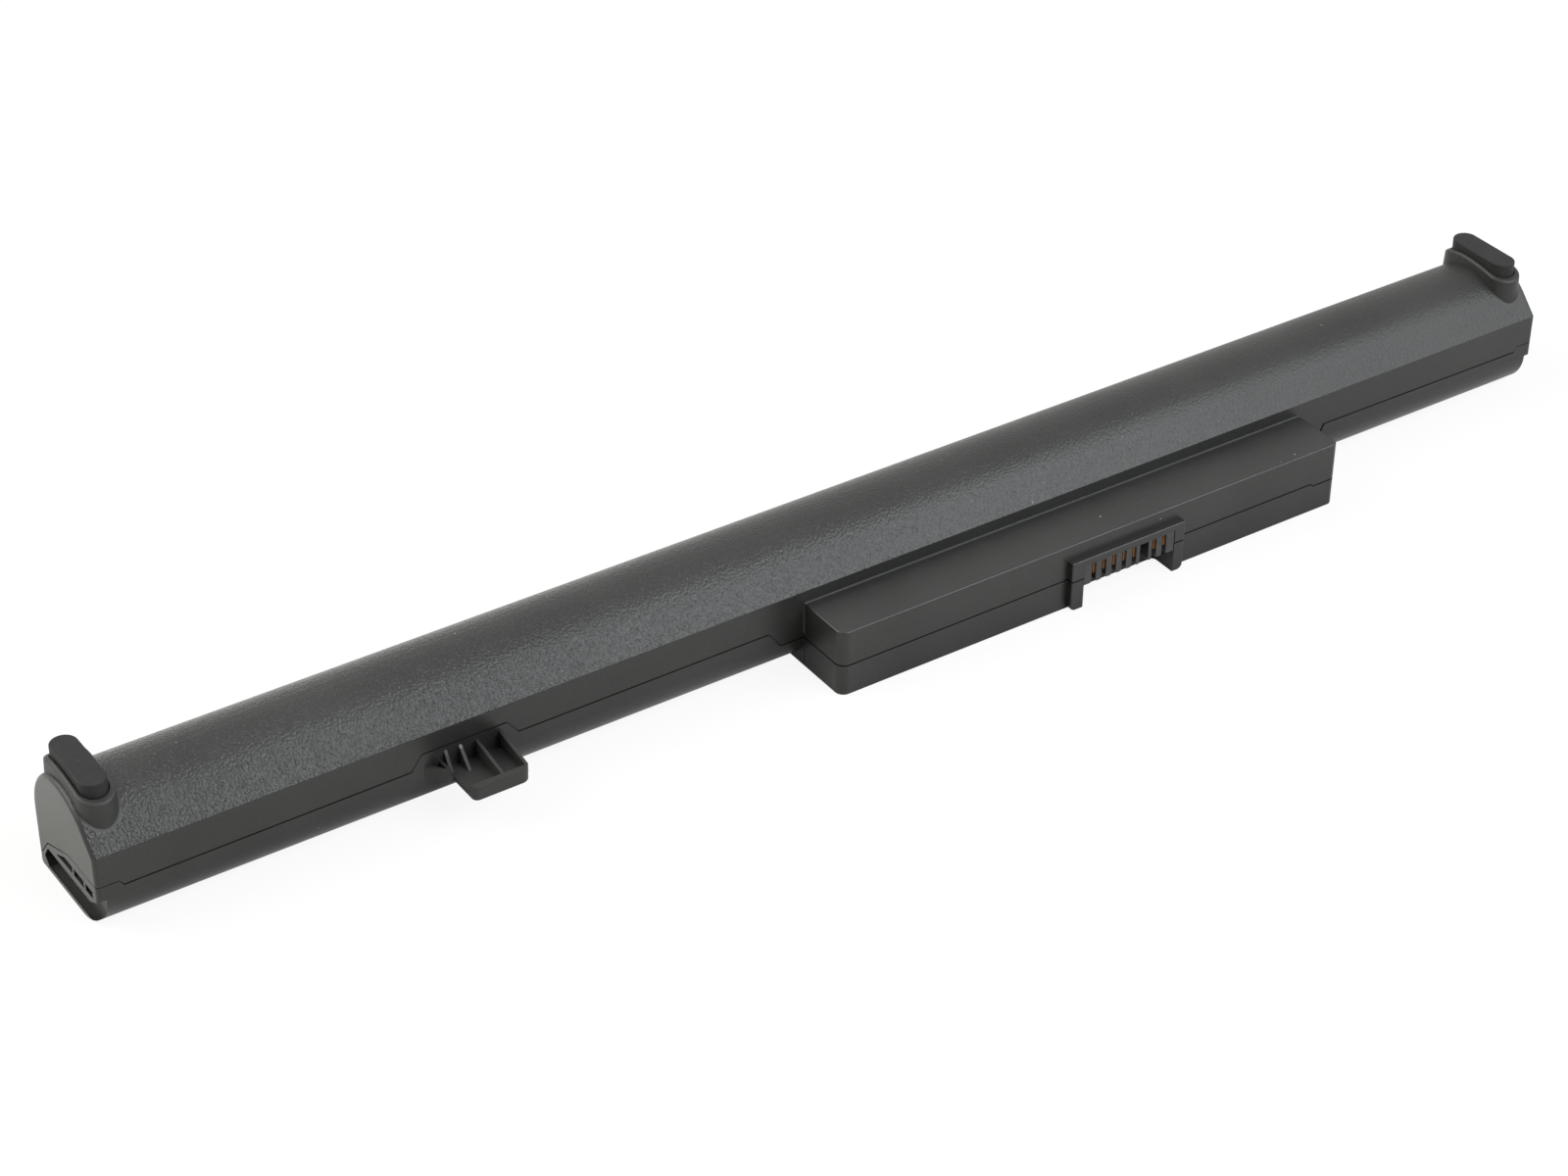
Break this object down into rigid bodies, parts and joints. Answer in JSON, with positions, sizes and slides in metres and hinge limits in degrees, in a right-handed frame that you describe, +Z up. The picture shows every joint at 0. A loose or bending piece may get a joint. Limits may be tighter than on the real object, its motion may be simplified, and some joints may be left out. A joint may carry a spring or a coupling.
{
  "type": "laptop battery",
  "caption": "Bar-shaped laptop battery with a grained round cover, rubber feet at both ends, a side box with a slotted blade connector, and a small latch tab.",
  "frame": {"origin": "on the flat base, midway along the bar and straight under the axis of the cells", "axes": "+X along the bar, with the connector box on the +X half; -Y out of the side with the connector box and the latch tab; +Z up, out of the side with the rubber feet"},
  "size_m": [0.271, 0.0317, 0.0234],
  "materials": {
    "shell_plastic": "dark charcoal moulded plastic, fine matt on the walls and grained on the round cover",
    "foot_rubber": "dull black rubber",
    "contact_copper": "bright copper alloy sheet",
    "housing_plastic": "smooth black moulded plastic",
    "ring_paper": "pale insulating paper",
    "nickel_strip": "nickel strip",
    "foam_pad": "soft closed-cell foam",
    "cell_sleeve": "thin shrunk sleeve over a steel can",
    "board_laminate": "green coated glass-fibre laminate",
    "lead_black": "black lead insulation",
    "lead_red": "red lead insulation",
    "lead_white": "white lead insulation",
    "fuse_ceramic": "pale ceramic body",
    "resistor_ceramic": "dark chip parts with pale ends",
    "chip_plastic": "moulded black chip body with tinned legs"
  },
  "bodies": {
    "root": {"cell_1": "cell_sleeve", "cell_2": "cell_sleeve", "cell_3": "cell_sleeve", "cell_4": "cell_sleeve", "cell_link_1": "nickel_strip", "cell_link_2": "nickel_strip", "cell_link_3": "nickel_strip", "cell_pad_1": "foam_pad", "cell_pad_2": "foam_pad", "cell_pad_3": "foam_pad", "cell_pad_4": "foam_pad", "circuit_board": "board_laminate", "connector_housing": "housing_plastic", "contact_1": "contact_copper", "contact_2": "contact_copper", "contact_3": "contact_copper", "contact_4": "contact_copper", "contact_5": "contact_copper", "contact_6": "contact_copper", "contact_7": "contact_copper", "control_chip": "chip_plastic", "end_foam_left": "foam_pad", "end_foam_right": "foam_pad", "end_strip_negative": "nickel_strip", "end_strip_positive": "nickel_strip", "foot_left": "foot_rubber", "foot_right": "foot_rubber", "fuse": "fuse_ceramic", "gauge_chip": "chip_plastic", "insulator_ring_1": "ring_paper", "insulator_ring_2": "ring_paper", "insulator_ring_3": "ring_paper", "insulator_ring_4": "ring_paper", "lower_shell": "shell_plastic", "power_lead_negative": "lead_black", "power_lead_positive": "lead_red", "resistors": "resistor_ceramic", "tap_lead_1": "lead_white", "tap_lead_2": "lead_white", "tap_lead_3": "lead_white", "thermistor": "lead_black", "transistor_1": "chip_plastic", "transistor_2": "chip_plastic", "upper_shell": "shell_plastic"}
  },
  "joints": []
}
